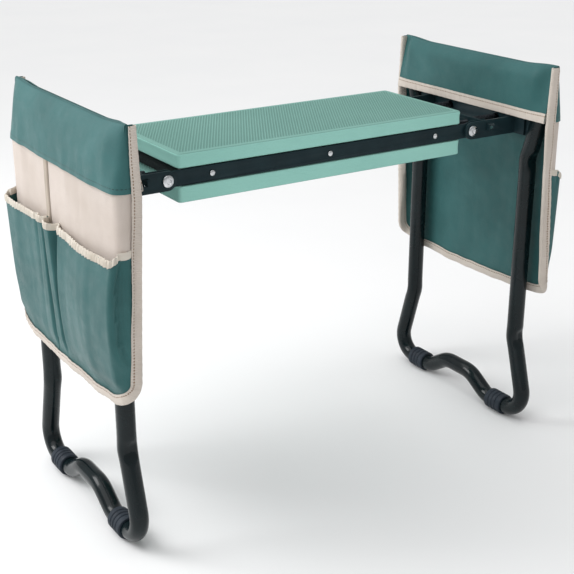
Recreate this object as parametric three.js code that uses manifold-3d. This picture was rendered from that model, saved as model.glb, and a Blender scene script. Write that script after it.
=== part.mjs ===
// Folding garden kneeler and seat, standing in seat mode on its two tubular legs.
//
// Millimetres, +Z up. The origin is on the floor under the middle of the seat. +X runs along
// the seat to the right leg and +Y runs to the back. Each end is the same assembly: the left
// one is the right one turned half a turn about Z.
import * as THREE from "three";
import { mergeVertices } from "three/addons/utils/BufferGeometryUtils.js";
import Module from "manifold-3d";

const wasm = await Module();
wasm.setup();

// ---------------------------------------------------------------- driving dimensions
const CLEAR = 0.3; // gap between two pieces that touch, are glued or are welded
const RUN = 0.35; // radial clearance of a pin in the hole that it turns or slides in

// Seat
const SEAT_LENGTH = 400;
const SEAT_WIDTH = 157;
const UPPER_FOAM = 17.5;
const LOWER_FOAM = 20;
const FOAM_CORNER = 5;
const FOAM_EDGE = 1.5;
const RAIL_HEIGHT = 18;
const RAIL_WALL = 2;
const RAIL_FLANGE = 12; // depth of the channel, over the web
const RAIL_PROUD = 0.5; // how far the rail stands out of the foam's side
const DECK_RECESS = 10; // from the foam's end to the deck board's end
const RIVET_SPAN = 158; // from the middle rivet to each outer one
const RIVET_R = 2;
const RIVET_HEAD_R = 3.3;
const RIVET_HEAD = 1.6;
const RIVET_DEPTH = 8;

// Pivots
const PIVOT_OVERHANG = 15; // from the foam's end to the pivot
const PIVOT_PIN_R = 4;
const PIVOT_HEAD_R = 6.8;
const PIVOT_HEAD = 2.6;
const PIVOT_TAIL_R = 6;
const PIVOT_TAIL = 2;
const WASHER_R = 9;
const WASHER = 0.9;
const RAIL_END_R = 11;

// Legs
const LEG_HEIGHT = 490;
const PIVOT_BELOW_TOP = 78; // the kneeling height, once the frame is turned over
const ARM_REACH = 75.5; // from the pivot out to the leg's plane
const TUBE_OD = 22;
const TUBE_WALL = 1.2;
const WAIST_MARGIN = 30; // from the seat's side to the centre line of the leg's straight middle
const FLARE_OFFSET = 31; // from there out to the corner where flare and foot would cross
const BEND_RISE = 108; // from the foot's centre line up to the dog-leg bend
const FOOT_SPAN = 78; // from that corner in to the start of the arch
const ARCH_RUN = 36;
const ARCH_RISE = 22;
const CORNER_BEND_R = 28;
const DOGLEG_BEND_R = 45;
const ARCH_FOOT_BEND_R = 30;
const ARCH_TOP_BEND_R = 40;
const DRAIN_R = 2;
const SLEEVE_WALL = 2.7;
const SLEEVE_LENGTH = 30;

// Hinge arms, crossbar and spring lock
const ARM_HEIGHT = 22;
const ARM_THICK = 3;
const ARM_TAB = 18;
const CROSSBAR_HEIGHT = 24;
const CROSSBAR_THICK = 3;
const LOCK_RADIUS = 23.3; // from the pivot to the lock bar's inner face
const LOCK_THICK = 3;
const LOCK_HEIGHT = 14;
const LOCK_TONGUE = 7;
const LOCK_RISE = 2; // lock bar and guide bolts lie this far above the pivot
const LOCK_TRAVEL = 9;
const LOCK_PROUD = 4.5; // how far each tongue stands out of its arm
const SLOT_PLAY = 0.5;
const TOOTH_HEIGHT = 6;
const TOOTH_ROOT = 8;
const BOLT_Y = 46;
const BOLT_R = 3;
const BOLT_HEAD_R = 5.6;
const BOLT_HEAD = 4.5;
const BOLT_TIP = 9; // from the pivot to the bolt's inner end
const NUT_THICK = 5;
const SPRING_COIL_R = 4.55;
const SPRING_WIRE_R = 0.7;
const SPRING_TURNS = 8;

// Tool pouches
const FABRIC = 2;
const POUCH_EASE = 1; // between the tube and the inside of the hood
const POUCH_SIDE_EASE = 5;
const POUCH_ABOVE_TUBE = 6;
const POUCH_RIDGE = 8; // thickness of the sewn top edge
const POUCH_DROP = 308; // from the top edge down to the bottom edge
const BAND_DROP = 69; // down to the hood's outer lower edge
const FLAP_DROP = 71; // down to the inner flap's lower edge
const SIDE_DEPTH = 24; // from the panel's face in to the edge of the side walls' tape
const BINDING_WIDTH = 11;
const BINDING_THICK = 3.4;
const BINDING_CORNER_R = 42;
const BINDING_SLANT = 34; // height over which the tape crosses a side wall to the panel
const POCKET_FLOOR = 12; // from the bottom edge up to the pockets' floor
const NARROW_POCKET = { width: 120, depth: 18, mouthDrop: 138 };
const WIDE_POCKET = { depth: 15, mouthDrop: 138 };
const POCKET_TOE = 4; // thickness of a pocket at its floor

// Facets
const TUBE_SIDES = 12;
const BORE_SIDES = 8;
const PIN_SIDES = 12;
const ARC_STEP = THREE.MathUtils.degToRad(17);
const HELIX_STEPS = 10;

// ---------------------------------------------------------------- derived places
const TUBE_R = TUBE_OD / 2;
const PIVOT_X = SEAT_LENGTH / 2 + PIVOT_OVERHANG;
const PIVOT_Z = LEG_HEIGHT - PIVOT_BELOW_TOP;
const LEG_X = PIVOT_X + ARM_REACH;
const SLEEVE_R = TUBE_R + CLEAR + SLEEVE_WALL;
const FOOT_Z = SLEEVE_R; // centre line of the foot, with its sleeve on the floor
const TOP_Z = LEG_HEIGHT - TUBE_R;
const WAIST_Y = SEAT_WIDTH / 2 + WAIST_MARGIN;
const CORNER_Y = WAIST_Y + FLARE_OFFSET;
const RAIL_FACE_Y = SEAT_WIDTH / 2 + RAIL_PROUD;
const ARM_Y = RAIL_FACE_Y + WASHER + 2 * CLEAR; // inner face of the arm
const CROSSBAR_IN_X = LEG_X - CROSSBAR_THICK / 2;
const CROSSBAR_OUT_X = LEG_X + CROSSBAR_THICK / 2;
const BOLT_Z = PIVOT_Z + LOCK_RISE;
const LOCK_IN_X = PIVOT_X + LOCK_RADIUS;
const LOCK_OUT_X = LOCK_IN_X + LOCK_THICK;
const POUCH_TOP_Z = LEG_HEIGHT + POUCH_ABOVE_TUBE;
const POUCH_BOTTOM_Z = POUCH_TOP_Z - POUCH_DROP;
const FLARE_SLOPE = Math.atan(FLARE_OFFSET / BEND_RISE);
const CORNER_TANGENT = CORNER_BEND_R * Math.tan((Math.PI / 2 + FLARE_SLOPE) / 2);
const FLARE_Y = CORNER_Y - CORNER_TANGENT + CORNER_BEND_R; // widest point of the centre line
const POUCH_HALF = FLARE_Y + TUBE_R + POUCH_SIDE_EASE + FABRIC;
const PANEL_IN_X = LEG_X + TUBE_R + POUCH_EASE;
const PANEL_OUT_X = PANEL_IN_X + FABRIC;
const BINDING_IN_X = LEG_X + TUBE_R + CLEAR;
const BINDING_OUT_X = BINDING_IN_X + BINDING_THICK;
const POCKET_X = Math.max(PANEL_OUT_X, BINDING_OUT_X) + CLEAR;
const PANEL_TOP_Z = POUCH_TOP_Z - Math.max(BAND_DROP, FLAP_DROP) - CLEAR;
const BINDING_CORNER_Z = POUCH_BOTTOM_Z + BINDING_CORNER_R;
const BINDING_BEND_Z = BINDING_CORNER_Z + BINDING_SLANT;
const WALL_TAPE_X = PANEL_OUT_X - SIDE_DEPTH;

// ---------------------------------------------------------------- materials
const finish = (color, roughness, metalness) =>
  new THREE.MeshStandardMaterial({ color, roughness, metalness });
const foam = finish(0x6eafa0, 0.85, 0);
const darkSteel = finish(0x2a3d42, 0.45, 0.5);
const tubePaint = finish(0x16282b, 0.25, 0.4);
const board = finish(0x2b2f30, 0.9, 0);
const zinc = finish(0xd0d3d6, 0.3, 1);
const blackSteel = finish(0x191d20, 0.4, 0.8);
const rubber = finish(0x1d2733, 0.8, 0);
const nylon = finish(0xb9bcb8, 0.6, 0);
const greenFabric = finish(0x33605c, 0.8, 0);
const beigeFabric = finish(0xd7c8b9, 0.85, 0);

// ---------------------------------------------------------------- solids
// A geometry as a solid that can be joined and cut.
function toSolid(geometry) {
  const bare = new THREE.BufferGeometry();
  bare.setAttribute("position", geometry.getAttribute("position"));
  if (geometry.index) bare.setIndex(geometry.index);
  const welded = mergeVertices(bare, 1e-3);
  const vertProperties = welded.getAttribute("position").array;
  const triVerts = new Uint32Array(welded.index.array);
  return new wasm.Manifold(new wasm.Mesh({ numProp: 3, vertProperties, triVerts }));
}

function toGeometry(solid) {
  const { vertProperties, triVerts } = solid.getMesh();
  const geometry = new THREE.BufferGeometry();
  geometry.setAttribute("position", new THREE.BufferAttribute(vertProperties, 3));
  geometry.setIndex(new THREE.BufferAttribute(triVerts, 1));
  geometry.computeVertexNormals();
  return geometry;
}

const cut = (base, ...tools) =>
  toGeometry(tools.reduce((rest, tool) => rest.subtract(toSolid(tool)), toSolid(base)));
const join = (base, ...others) =>
  toGeometry(others.reduce((sum, other) => sum.add(toSolid(other)), toSolid(base)));
const common = (a, b) => toGeometry(toSolid(a).intersect(toSolid(b)));

function box(low, high) {
  const size = high.map((value, axis) => value - low[axis]);
  const middle = high.map((value, axis) => (value + low[axis]) / 2);
  return new THREE.BoxGeometry(...size).translate(...middle);
}

// A flat shape drawn in X and Z, from y = from to y = to.
function plateXZ(shape, from, to) {
  const plate = new THREE.ExtrudeGeometry(shape, {
    depth: to - from,
    bevelEnabled: false,
    curveSegments: 8,
  });
  return plate.rotateX(Math.PI / 2).translate(0, to, 0);
}

// A flat shape drawn in Y and Z, from x = from to x = to.
function plateYZ(shape, from, to) {
  const plate = new THREE.ExtrudeGeometry(shape, {
    depth: to - from,
    bevelEnabled: false,
    curveSegments: 6,
  });
  const turn = new THREE.Matrix4().makeBasis(
    new THREE.Vector3(0, 1, 0),
    new THREE.Vector3(0, 0, 1),
    new THREE.Vector3(1, 0, 0),
  );
  return plate.applyMatrix4(turn).translate(from, 0, 0);
}

const rodX = (radius, from, to, y, z, sides = PIN_SIDES) =>
  new THREE.CylinderGeometry(radius, radius, to - from, sides)
    .rotateZ(Math.PI / 2)
    .translate((from + to) / 2, y, z);
const rodY = (radius, from, to, x, z, sides = PIN_SIDES) =>
  new THREE.CylinderGeometry(radius, radius, to - from, sides).translate(x, (from + to) / 2, z);
const rodZ = (radius, from, to, x, y, sides = PIN_SIDES) =>
  new THREE.CylinderGeometry(radius, radius, to - from, sides)
    .rotateX(Math.PI / 2)
    .translate(x, y, (from + to) / 2);

function polygon(points) {
  return new THREE.Shape(points.map(([a, b]) => new THREE.Vector2(a, b)));
}

function roundedRectangle(halfLength, halfWidth, radius) {
  const shape = new THREE.Shape();
  const a = halfLength - radius;
  const b = halfWidth - radius;
  shape.absarc(a, b, radius, 0, Math.PI / 2);
  shape.absarc(-a, b, radius, Math.PI / 2, Math.PI);
  shape.absarc(-a, -b, radius, Math.PI, 1.5 * Math.PI);
  shape.absarc(a, -b, radius, 1.5 * Math.PI, 2 * Math.PI);
  return shape;
}

// ---------------------------------------------------------------- assembly helpers
const kneeler = new THREE.Group();
const ends = { right: new THREE.Group(), left: new THREE.Group() };
ends.left.rotation.z = Math.PI;
kneeler.add(ends.right, ends.left);

function addPiece(group, name, geometry, material) {
  const mesh = new THREE.Mesh(geometry, material);
  mesh.name = name;
  group.add(mesh);
}

// The left end is turned round, so its own -Y side faces the back.
const depthName = (end, side) => ((end === "left") === side > 0 ? "front" : "back");

// ---------------------------------------------------------------- seat
function foamPad(bottom, thickness) {
  const shape = roundedRectangle(
    SEAT_LENGTH / 2 - FOAM_EDGE,
    SEAT_WIDTH / 2 - FOAM_EDGE,
    FOAM_CORNER - FOAM_EDGE,
  );
  const pad = new THREE.ExtrudeGeometry(shape, {
    depth: thickness - 2 * FOAM_EDGE,
    bevelSize: FOAM_EDGE,
    bevelThickness: FOAM_EDGE,
    bevelSegments: 2,
    curveSegments: 3,
  });
  return pad.translate(0, 0, bottom + FOAM_EDGE);
}

const railBottom = PIVOT_Z - RAIL_HEIGHT / 2;
const railTop = PIVOT_Z + RAIL_HEIGHT / 2;
const rivetX = [-RIVET_SPAN, 0, RIVET_SPAN];
const endSides = [-1, 1];

// Board with a rebate along each long edge, which fits into the rail's channel.
function deckBoard() {
  const inside = RAIL_FACE_Y - RAIL_WALL - CLEAR;
  const step = RAIL_FACE_Y - RAIL_FLANGE - CLEAR;
  const low = railBottom + RAIL_WALL + CLEAR;
  const high = railTop - RAIL_WALL - CLEAR;
  const half = [
    [step, railBottom],
    [step, low],
    [inside, low],
    [inside, high],
    [step, high],
    [step, railTop],
  ];
  const mirrored = half.map(([y, z]) => [-y, z]).reverse();
  const end = SEAT_LENGTH / 2 - DECK_RECESS;
  const body = plateYZ(polygon([...half, ...mirrored]), -end, end);
  const hole = RIVET_DEPTH + RAIL_WALL + CLEAR;
  const holes = endSides.flatMap((side) =>
    rivetX.map((x) => {
      const deep = side * (RAIL_FACE_Y - hole);
      const open = side * (RAIL_FACE_Y + CLEAR);
      return rodY(RIVET_R + RUN, Math.min(deep, open), Math.max(deep, open), x, PIVOT_Z, 8);
    }),
  );
  return cut(body, ...holes);
}

// One end of the rail's web: round about the pivot, with the tooth that the open leg's lock
// bar stops under. It is drawn as a shape about the pivot, pointing along +X.
function railEndOutline() {
  const toothLow = LOCK_RISE + LOCK_TONGUE / 2 + CLEAR;
  const toothHigh = toothLow + TOOTH_HEIGHT;
  const tip = LOCK_RADIUS + LOCK_THICK + RUN;
  return [
    [TOOTH_ROOT, toothLow],
    [tip, toothLow],
    [tip, toothHigh - TOOTH_HEIGHT / 3],
    [tip - TOOTH_HEIGHT / 3, toothHigh],
    [0, toothHigh],
    [-TOOTH_ROOT, RAIL_HEIGHT / 2],
    [0, 0],
  ];
}

function sideRail() {
  const web = box(
    [-PIVOT_X, RAIL_FACE_Y - RAIL_WALL, railBottom],
    [PIVOT_X, RAIL_FACE_Y, railTop],
  );
  const extras = [];
  for (const end of endSides) {
    const tooth = railEndOutline().map(([x, z]) => [end * (PIVOT_X + x), PIVOT_Z + z]);
    if (end < 0) tooth.reverse();
    tooth.reverse();
    extras.push(plateXZ(polygon(tooth), RAIL_FACE_Y - RAIL_WALL, RAIL_FACE_Y));
    extras.push(
      rodY(RAIL_END_R, RAIL_FACE_Y - RAIL_WALL, RAIL_FACE_Y, end * PIVOT_X, PIVOT_Z, 20),
    );
  }
  const flangeEnd = SEAT_LENGTH / 2 - FOAM_CORNER;
  for (const low of [railBottom, railTop - RAIL_WALL]) {
    extras.push(
      box(
        [-flangeEnd, RAIL_FACE_Y - RAIL_FLANGE, low],
        [flangeEnd, RAIL_FACE_Y - RAIL_WALL / 2, low + RAIL_WALL],
      ),
    );
  }
  const through = [RAIL_FACE_Y - RAIL_WALL - 1, RAIL_FACE_Y + 1];
  const holes = [
    ...endSides.map((end) => rodY(PIVOT_PIN_R + RUN, ...through, end * PIVOT_X, PIVOT_Z)),
    ...rivetX.map((x) => rodY(RIVET_R + RUN, ...through, x, PIVOT_Z, 8)),
  ];
  return cut(join(web, ...extras), ...holes);
}

// A headed pin along +Y, as a turned profile: from the tail, or a plain end, to a domed head.
function turnedRivet({ pinR, from, to, headR, head, tailR = 0, tail = 0 }) {
  const points = [[0, from - tail]];
  if (tail) points.push([tailR, from - tail], [tailR, from]);
  points.push([pinR, from], [pinR, to], [headR, to], [headR, to + head * 0.35]);
  points.push([headR * 0.7, to + head * 0.85], [0, to + head]);
  const profile = points.map(([r, y]) => new THREE.Vector2(r, y));
  return new THREE.LatheGeometry(profile, PIN_SIDES);
}

function addSeat() {
  addPiece(kneeler, "seat_pad_upper", foamPad(railTop + CLEAR, UPPER_FOAM), foam);
  addPiece(kneeler, "seat_pad_lower", foamPad(railBottom - CLEAR - LOWER_FOAM, LOWER_FOAM), foam);
  addPiece(kneeler, "deck_board", deckBoard(), board);
  for (const [name, turn] of [["back", 0], ["front", Math.PI]]) {
    const side = new THREE.Group();
    side.rotation.z = turn;
    kneeler.add(side);
    addPiece(side, `side_rail_${name}`, sideRail(), darkSteel);
    rivetX.forEach((x, place) => {
      const from = RAIL_FACE_Y - RAIL_WALL - RIVET_DEPTH;
      const rivet = turnedRivet({
        pinR: RIVET_R,
        from,
        to: RAIL_FACE_Y + CLEAR,
        headR: RIVET_HEAD_R,
        head: RIVET_HEAD,
      });
      const label = ["left", "middle", "right"][turn ? 2 - place : place];
      addPiece(side, `rail_rivet_${name}_${label}`, rivet.translate(x, 0, PIVOT_Z), zinc);
    });
    for (const end of endSides) {
      const label = (end > 0) === !turn ? "right" : "left";
      const rivet = turnedRivet({
        pinR: PIVOT_PIN_R,
        from: RAIL_FACE_Y - RAIL_WALL - CLEAR,
        to: ARM_Y + ARM_THICK + CLEAR,
        headR: PIVOT_HEAD_R,
        head: PIVOT_HEAD,
        tailR: PIVOT_TAIL_R,
        tail: PIVOT_TAIL,
      });
      const place = [end * PIVOT_X, 0, PIVOT_Z];
      addPiece(side, `pivot_rivet_${label}_${name}`, rivet.translate(...place), zinc);
      const washer = cut(
        rodY(WASHER_R, RAIL_FACE_Y + CLEAR, RAIL_FACE_Y + CLEAR + WASHER, place[0], PIVOT_Z),
        rodY(PIVOT_PIN_R + RUN, RAIL_FACE_Y, ARM_Y, place[0], PIVOT_Z),
      );
      addPiece(side, `pivot_washer_${label}_${name}`, washer, nylon);
    }
  }
}

// ---------------------------------------------------------------- legs
// A route is a closed curve through given stations, which are its only sampled points.
class Route extends THREE.Curve {
  constructor(stations) {
    super();
    this.stations = stations;
  }
  station(t) {
    const count = this.stations.length;
    return this.stations[Math.round(t * count) % count];
  }
  getPoint(t) {
    return this.station(t).point.clone();
  }
  getPointAt(t) {
    return this.getPoint(t);
  }
  getTangentAt(t) {
    return this.station(t).tangent.clone();
  }
}

// A closed polygon in Y and Z, each corner rounded to its own bend radius.
function roundedRoute(x, corners) {
  const stations = [];
  corners.forEach(({ at, radius }, i) => {
    const before = corners[(i + corners.length - 1) % corners.length].at;
    const after = corners[(i + 1) % corners.length].at;
    const into = at.clone().sub(before).normalize();
    const out = after.clone().sub(at).normalize();
    const turn = Math.atan2(into.cross(out), into.dot(out));
    const start = at.clone().addScaledVector(into, -radius * Math.tan(Math.abs(turn) / 2));
    const inward = new THREE.Vector2(-into.y, into.x).multiplyScalar(Math.sign(turn) * radius);
    const centre = start.clone().add(inward);
    const steps = Math.ceil(Math.abs(turn) / ARC_STEP);
    for (let step = 0; step <= steps; step++) {
      const angle = (turn * step) / steps;
      const point = start.clone().rotateAround(centre, angle);
      const way = into.clone().rotateAround(new THREE.Vector2(), angle);
      stations.push({
        point: new THREE.Vector3(x, point.x, point.y),
        tangent: new THREE.Vector3(0, way.x, way.y),
      });
    }
  });
  return new Route(stations);
}

// The leg's centre line: foot bar with its arch, flares, straight middle, and the same again
// upside down at the top.
function legRoute() {
  const footY = CORNER_Y - FOOT_SPAN;
  const quarter = [
    { y: footY - ARCH_RUN, rise: ARCH_RISE, radius: ARCH_TOP_BEND_R },
    { y: footY, rise: 0, radius: ARCH_FOOT_BEND_R },
    { y: CORNER_Y, rise: 0, radius: CORNER_BEND_R },
    { y: WAIST_Y, rise: BEND_RISE, radius: DOGLEG_BEND_R },
  ];
  const corner = ({ y, rise, radius }, side, end) => ({
    at: new THREE.Vector2(side * y, end > 0 ? TOP_Z - rise : FOOT_Z + rise),
    radius,
  });
  const reversed = [...quarter].reverse();
  return roundedRoute(LEG_X, [
    ...quarter.map((q) => corner(q, 1, -1)),
    ...reversed.map((q) => corner(q, 1, 1)),
    ...quarter.map((q) => corner(q, -1, 1)),
    ...reversed.map((q) => corner(q, -1, -1)),
  ]);
}

// A round bar swept along a closed route. The extrusion's two end lids fall together where the
// route closes, so only its side wall is kept.
function ringBar(route, radius, sides) {
  const section = new THREE.Shape();
  section.absarc(0, 0, radius, 0, 2 * Math.PI);
  const swept = new THREE.ExtrudeGeometry(section, {
    steps: route.stations.length,
    curveSegments: sides / 2,
    extrudePath: route,
  });
  const wall = swept.groups.find((group) => group.materialIndex === 1);
  const all = swept.getAttribute("position").array;
  const kept = all.slice(wall.start * 3, (wall.start + wall.count) * 3);
  return new THREE.BufferGeometry().setAttribute("position", new THREE.BufferAttribute(kept, 3));
}

const route = legRoute();

// Hollow tube, with the drain hole under the middle of the arch.
function legTube() {
  const archZ = FOOT_Z + ARCH_RISE;
  return cut(
    ringBar(route, TUBE_R, TUBE_SIDES),
    ringBar(route, TUBE_R - TUBE_WALL, BORE_SIDES),
    rodZ(DRAIN_R, archZ - TUBE_R - 1, archZ - TUBE_R / 2, LEG_X, 0, 6),
  );
}

// Flat bar between the tubes, each end cut to the tube's curve and welded there.
function crossbar() {
  const half = CROSSBAR_HEIGHT / 2;
  const bar = box(
    [CROSSBAR_IN_X, -CORNER_Y, PIVOT_Z - half],
    [CROSSBAR_OUT_X, CORNER_Y, PIVOT_Z + half],
  );
  const holes = endSides.map((side) =>
    rodX(BOLT_R + RUN, CROSSBAR_IN_X - 1, CROSSBAR_OUT_X + 1, side * BOLT_Y, BOLT_Z),
  );
  const trimmed = toSolid(cut(bar, ringBar(route, TUBE_R + CLEAR, TUBE_SIDES), ...holes));
  const pieces = trimmed.decompose();
  const middle = pieces.reduce((a, b) => (b.volume() > a.volume() ? b : a));
  return toGeometry(middle);
}

// Arm from the pivot to the crossbar, with the lock bar's slot and a tab bent outwards.
function hingeArm() {
  const half = ARM_HEIGHT / 2;
  const end = CROSSBAR_IN_X - CLEAR;
  const shape = new THREE.Shape();
  shape.moveTo(end, PIVOT_Z - half);
  shape.lineTo(end, PIVOT_Z + half);
  shape.lineTo(PIVOT_X, PIVOT_Z + half);
  shape.absarc(PIVOT_X, PIVOT_Z, half, Math.PI / 2, 1.5 * Math.PI);
  const plate = plateXZ(shape, ARM_Y, ARM_Y + ARM_THICK);
  const tab = box(
    [end - ARM_THICK, ARM_Y, PIVOT_Z - half],
    [end, ARM_Y + ARM_THICK + ARM_TAB, PIVOT_Z + half],
  );
  const slotHalf = LOCK_TONGUE / 2 + SLOT_PLAY;
  const roundEnd = slotHalf - Math.sqrt(slotHalf ** 2 - (LOCK_TONGUE / 2) ** 2);
  const slot = new THREE.Shape();
  const slotFrom = LOCK_IN_X - CLEAR;
  const slotTo = LOCK_OUT_X + LOCK_TRAVEL + roundEnd + CLEAR;
  slot.moveTo(slotFrom, BOLT_Z - slotHalf);
  slot.lineTo(slotTo - slotHalf, BOLT_Z - slotHalf);
  slot.absarc(slotTo - slotHalf, BOLT_Z, slotHalf, -Math.PI / 2, Math.PI / 2);
  slot.lineTo(slotFrom, BOLT_Z + slotHalf);
  return cut(
    join(plate, tab),
    plateXZ(slot, ARM_Y - 1, ARM_Y + ARM_THICK + 1),
    rodY(PIVOT_PIN_R + RUN, ARM_Y - 1, ARM_Y + ARM_THICK + 1, PIVOT_X, PIVOT_Z),
  );
}

// Flat bar across both arms. Its tongues run through the arms' slots, under the rails' teeth.
function lockBar() {
  const wide = RAIL_FACE_Y - RAIL_WALL - 3;
  const tip = ARM_Y + ARM_THICK + LOCK_PROUD;
  const body = LOCK_HEIGHT / 2;
  const tongue = LOCK_TONGUE / 2;
  const half = [
    [wide, BOLT_Z - body],
    [wide, BOLT_Z - tongue],
    [tip, BOLT_Z - tongue],
    [tip, BOLT_Z + tongue],
    [wide, BOLT_Z + tongue],
    [wide, BOLT_Z + body],
  ];
  const mirrored = half.map(([y, z]) => [-y, z]).reverse();
  const bar = plateYZ(polygon([...half, ...mirrored]), LOCK_IN_X, LOCK_OUT_X);
  const holes = endSides.map((side) =>
    rodX(BOLT_R + RUN, LOCK_IN_X - 1, LOCK_OUT_X + 1, side * BOLT_Y, BOLT_Z),
  );
  return cut(bar, ...holes);
}

function guideBolt(y) {
  const under = CROSSBAR_OUT_X + CLEAR;
  return join(
    rodX(BOLT_HEAD_R, under, under + BOLT_HEAD, y, BOLT_Z, 6),
    rodX(BOLT_R, PIVOT_X + BOLT_TIP, under + 1, y, BOLT_Z),
  );
}

function guideNut(y) {
  const face = CROSSBAR_IN_X - CLEAR;
  return cut(
    rodX(BOLT_HEAD_R, face - NUT_THICK, face, y, BOLT_Z, 6),
    rodX(BOLT_R + RUN, face - NUT_THICK - 1, face + 1, y, BOLT_Z),
  );
}

// Compression spring on its bolt, from the lock bar to the nut.
class Helix extends THREE.Curve {
  constructor(from, to, y, z) {
    super();
    Object.assign(this, { from, to, y, z });
  }
  getPoint(t) {
    const angle = 2 * Math.PI * SPRING_TURNS * t;
    const x = THREE.MathUtils.lerp(this.from, this.to, t);
    const side = SPRING_COIL_R * Math.cos(angle);
    const up = SPRING_COIL_R * Math.sin(angle);
    return new THREE.Vector3(x, this.y + side, this.z + up);
  }
}

function lockSpring(y) {
  const inset = CLEAR + SPRING_WIRE_R * 1.5;
  const from = LOCK_OUT_X + inset;
  const to = CROSSBAR_IN_X - CLEAR - NUT_THICK - inset;
  const wire = new THREE.Shape();
  wire.absarc(0, 0, SPRING_WIRE_R, 0, 2 * Math.PI);
  return new THREE.ExtrudeGeometry(wire, {
    steps: SPRING_TURNS * HELIX_STEPS,
    curveSegments: 2,
    extrudePath: new Helix(from, to, y, BOLT_Z),
  });
}

// Rubber sleeve on the straight stretch of the foot bar. It stands on a flat of its facets.
function footSleeve(side) {
  const footY = CORNER_Y - FOOT_SPAN;
  const archTurn = Math.atan(ARCH_RISE / ARCH_RUN);
  const straightFrom = footY + ARCH_FOOT_BEND_R * Math.tan(archTurn / 2);
  const straightTo = CORNER_Y - CORNER_TANGENT;
  const middle = (straightFrom + straightTo) / 2;
  const from = side * middle - SLEEVE_LENGTH / 2;
  const to = side * middle + SLEEVE_LENGTH / 2;
  const sides = 16;
  const reach = 1 / Math.cos(Math.PI / sides); // from a facet's middle out to its corner
  const turnToFlat = (geometry) =>
    geometry
      .translate(-LEG_X, 0, -FOOT_Z)
      .rotateY(Math.PI / sides)
      .translate(LEG_X, 0, FOOT_Z);
  return cut(
    turnToFlat(rodY(SLEEVE_R * reach, from, to, LEG_X, FOOT_Z, sides)),
    turnToFlat(rodY((TUBE_R + CLEAR) * reach, from - 1, to + 1, LEG_X, FOOT_Z, sides)),
  );
}

// ---------------------------------------------------------------- pouches
// Hood that hangs over the top of the leg: a sleeve with a thick sewn ridge, open below.
function pouchHood() {
  const inner = TUBE_R + POUCH_EASE;
  const outer = inner + FABRIC;
  const flapZ = POUCH_TOP_Z - FLAP_DROP;
  const bandZ = POUCH_TOP_Z - BAND_DROP;
  const shoulder = TOP_Z + TUBE_R / 2;
  const ceiling = LEG_HEIGHT + POUCH_EASE;
  const place = ([x, z]) => [LEG_X + x, z];
  const outline = [
    [outer, bandZ],
    [outer, shoulder + FABRIC],
    [POUCH_RIDGE / 2, POUCH_TOP_Z],
    [-POUCH_RIDGE / 2, POUCH_TOP_Z],
    [-outer, shoulder + FABRIC],
    [-outer, flapZ],
    [-inner, flapZ],
    [inner, bandZ],
  ].map(place);
  const hollow = [
    [inner, flapZ - 10],
    [inner, shoulder],
    [TUBE_R / 2, ceiling],
    [-TUBE_R / 2, ceiling],
    [-inner, shoulder],
    [-inner, flapZ - 10],
  ].map(place);
  return cut(
    plateXZ(polygon(outline), -POUCH_HALF, POUCH_HALF),
    plateXZ(polygon(hollow), FABRIC - POUCH_HALF, POUCH_HALF - FABRIC),
  );
}

// Outline of a pouch layer, from its straight top edge down to its round bottom corners.
function apron(half, bottom, top) {
  const radius = BINDING_CORNER_R - (POUCH_HALF - half);
  const shape = new THREE.Shape();
  shape.moveTo(half, top);
  shape.lineTo(-half, top);
  shape.absarc(-half + radius, bottom + radius, radius, Math.PI, 1.5 * Math.PI);
  shape.absarc(half - radius, bottom + radius, radius, 1.5 * Math.PI, 2 * Math.PI);
  return shape;
}

// The tape's outward edge on a side wall, seen from the side and moved outwards by grow. It
// runs up from the panel's corner, slants across to the wall's free edge and follows that.
function tapeEdge(grow) {
  const wide = BINDING_WIDTH + grow;
  return [
    [BINDING_OUT_X + grow, BINDING_CORNER_Z - CLEAR],
    [BINDING_OUT_X + grow, BINDING_CORNER_Z + wide],
    [WALL_TAPE_X + wide, BINDING_BEND_Z + wide / 2],
    [WALL_TAPE_X + wide, PANEL_TOP_Z + grow],
  ];
}

// Backing panel below the hood, with a side wall that wraps the tube at each edge.
function pouchPanel() {
  const inner = apron(POUCH_HALF - BINDING_WIDTH, POUCH_BOTTOM_Z + BINDING_WIDTH, PANEL_TOP_Z);
  const low = BINDING_CORNER_Z + CLEAR;
  const face = box([PANEL_IN_X, -POUCH_HALF, low], [PANEL_OUT_X, POUCH_HALF, PANEL_TOP_Z]);
  const walls = [];
  const clearances = [];
  for (const side of endSides) {
    const middle = side * (POUCH_HALF - FABRIC / 2);
    walls.push(
      box(
        [WALL_TAPE_X + BINDING_WIDTH, middle - FABRIC / 2, low],
        [PANEL_OUT_X, middle + FABRIC / 2, PANEL_TOP_Z],
      ),
    );
    const reach = BINDING_THICK / 2 + CLEAR;
    const taped = polygon([
      [WALL_TAPE_X, PANEL_TOP_Z + CLEAR],
      [WALL_TAPE_X, BINDING_CORNER_Z - CLEAR],
      ...tapeEdge(CLEAR),
    ]);
    clearances.push(plateXZ(taped, middle - reach, middle + reach));
  }
  return cut(join(plateYZ(inner, PANEL_IN_X, PANEL_OUT_X), face, ...walls), ...clearances);
}

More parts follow.
